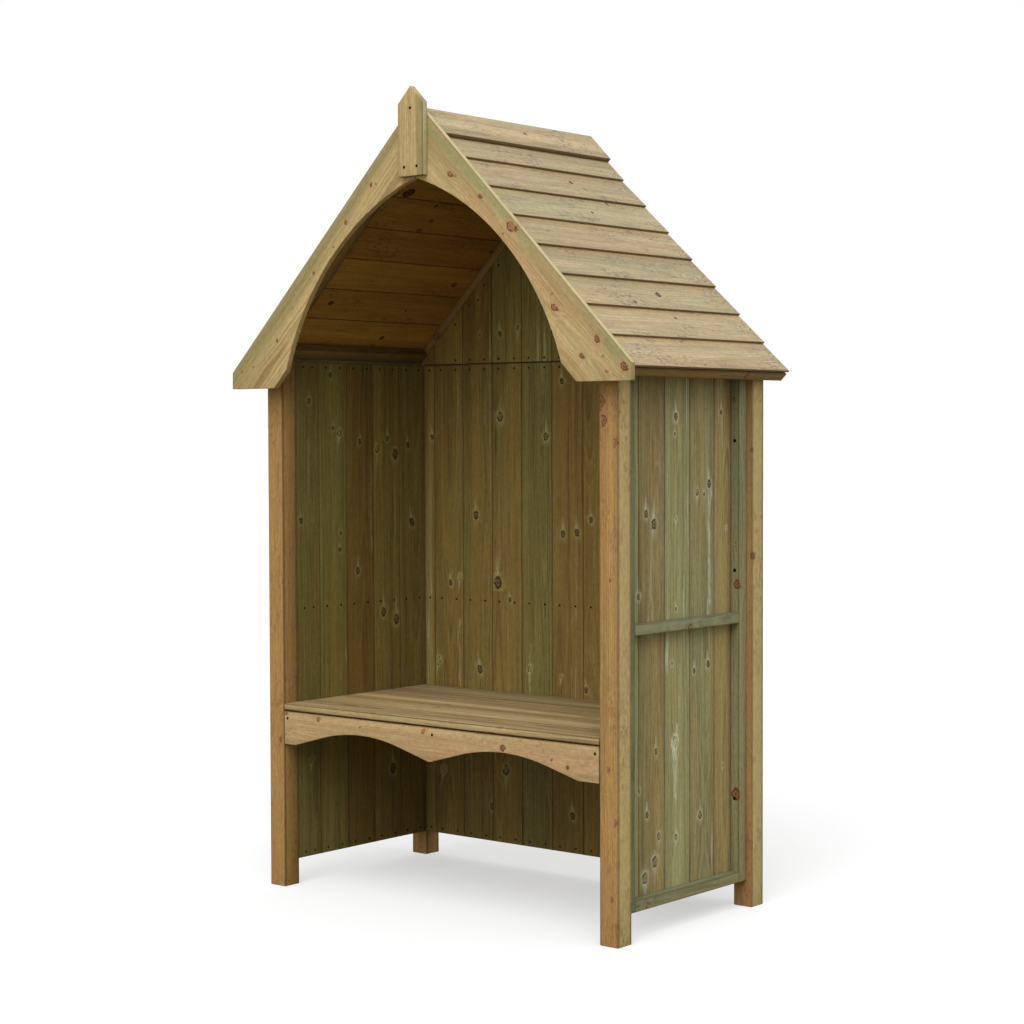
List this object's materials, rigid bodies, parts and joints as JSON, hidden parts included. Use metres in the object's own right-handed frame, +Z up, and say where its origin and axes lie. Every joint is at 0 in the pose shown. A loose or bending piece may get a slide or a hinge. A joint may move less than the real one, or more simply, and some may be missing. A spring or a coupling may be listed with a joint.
{
  "type": "arbour seat",
  "caption": "Timber garden arbour: a boarded bench for two between panelled walls, under a steep apex roof with an arched front.",
  "frame": {"origin": "on the ground, under the middle of the whole seat", "axes": "+X across to the right seen from the front, +Y towards the back wall, +Z up"},
  "size_m": [1.374, 0.761, 2.1491],
  "materials": {
    "posts": "planed, pressure-treated",
    "wall_boards": "planed, pressure-treated, green-brown",
    "frames": "sawn, pressure-treated, grey-green",
    "rafters": "planed, pressure-treated",
    "roof_boards": "planed, pressure-treated, pale",
    "trim_boards": "planed, pressure-treated, yellow-tan",
    "seat_boards": "planed",
    "bearers": "sawn",
    "apron": "planed, pinkish",
    "fixings": "dull zinc"
  },
  "bodies": {
    "root": {"apron": "apron", "back_bearer": "bearers", "back_bottom_rail": "frames", "back_mid_rail": "frames", "back_top_rail": "frames", "back_wall_boards": "wall_boards", "back_wall_nails": "fixings", "finial": "trim_boards", "frame_screws": "fixings", "gable_base_rail": "frames", "gable_boards": "wall_boards", "left_back_stile": "frames", "left_bargeboard": "trim_boards", "left_eave_rail": "rafters", "left_front_post": "posts", "left_front_rafter": "rafters", "left_gable_diagonal": "frames", "left_gable_rafter": "rafters", "left_rear_post": "posts", "left_ridge_cap": "roof_boards", "left_roof_boards": "roof_boards", "left_roof_nails": "fixings", "left_side_bearer": "bearers", "left_side_bottom_rail": "frames", "left_side_front_stile": "frames", "left_side_mid_rail": "frames", "left_side_rear_stile": "frames", "left_side_top_rail": "frames", "left_verge_rafter": "rafters", "left_wall_boards": "wall_boards", "left_wall_nails": "fixings", "left_wall_plate": "rafters", "middle_bearer": "bearers", "right_back_stile": "frames", "right_bargeboard": "trim_boards", "right_eave_rail": "rafters", "right_front_post": "posts", "right_front_rafter": "rafters", "right_gable_diagonal": "frames", "right_gable_rafter": "rafters", "right_rear_post": "posts", "right_ridge_cap": "roof_boards", "right_roof_boards": "roof_boards", "right_roof_nails": "fixings", "right_side_bearer": "bearers", "right_side_bottom_rail": "frames", "right_side_front_stile": "frames", "right_side_mid_rail": "frames", "right_side_rear_stile": "frames", "right_side_top_rail": "frames", "right_verge_rafter": "rafters", "right_wall_boards": "wall_boards", "right_wall_nails": "fixings", "right_wall_plate": "rafters", "seat_board_1": "seat_boards", "seat_board_2": "seat_boards", "seat_board_3": "seat_boards", "seat_board_4": "seat_boards", "seat_board_5": "seat_boards", "trim_screws": "fixings"}
  },
  "joints": []
}
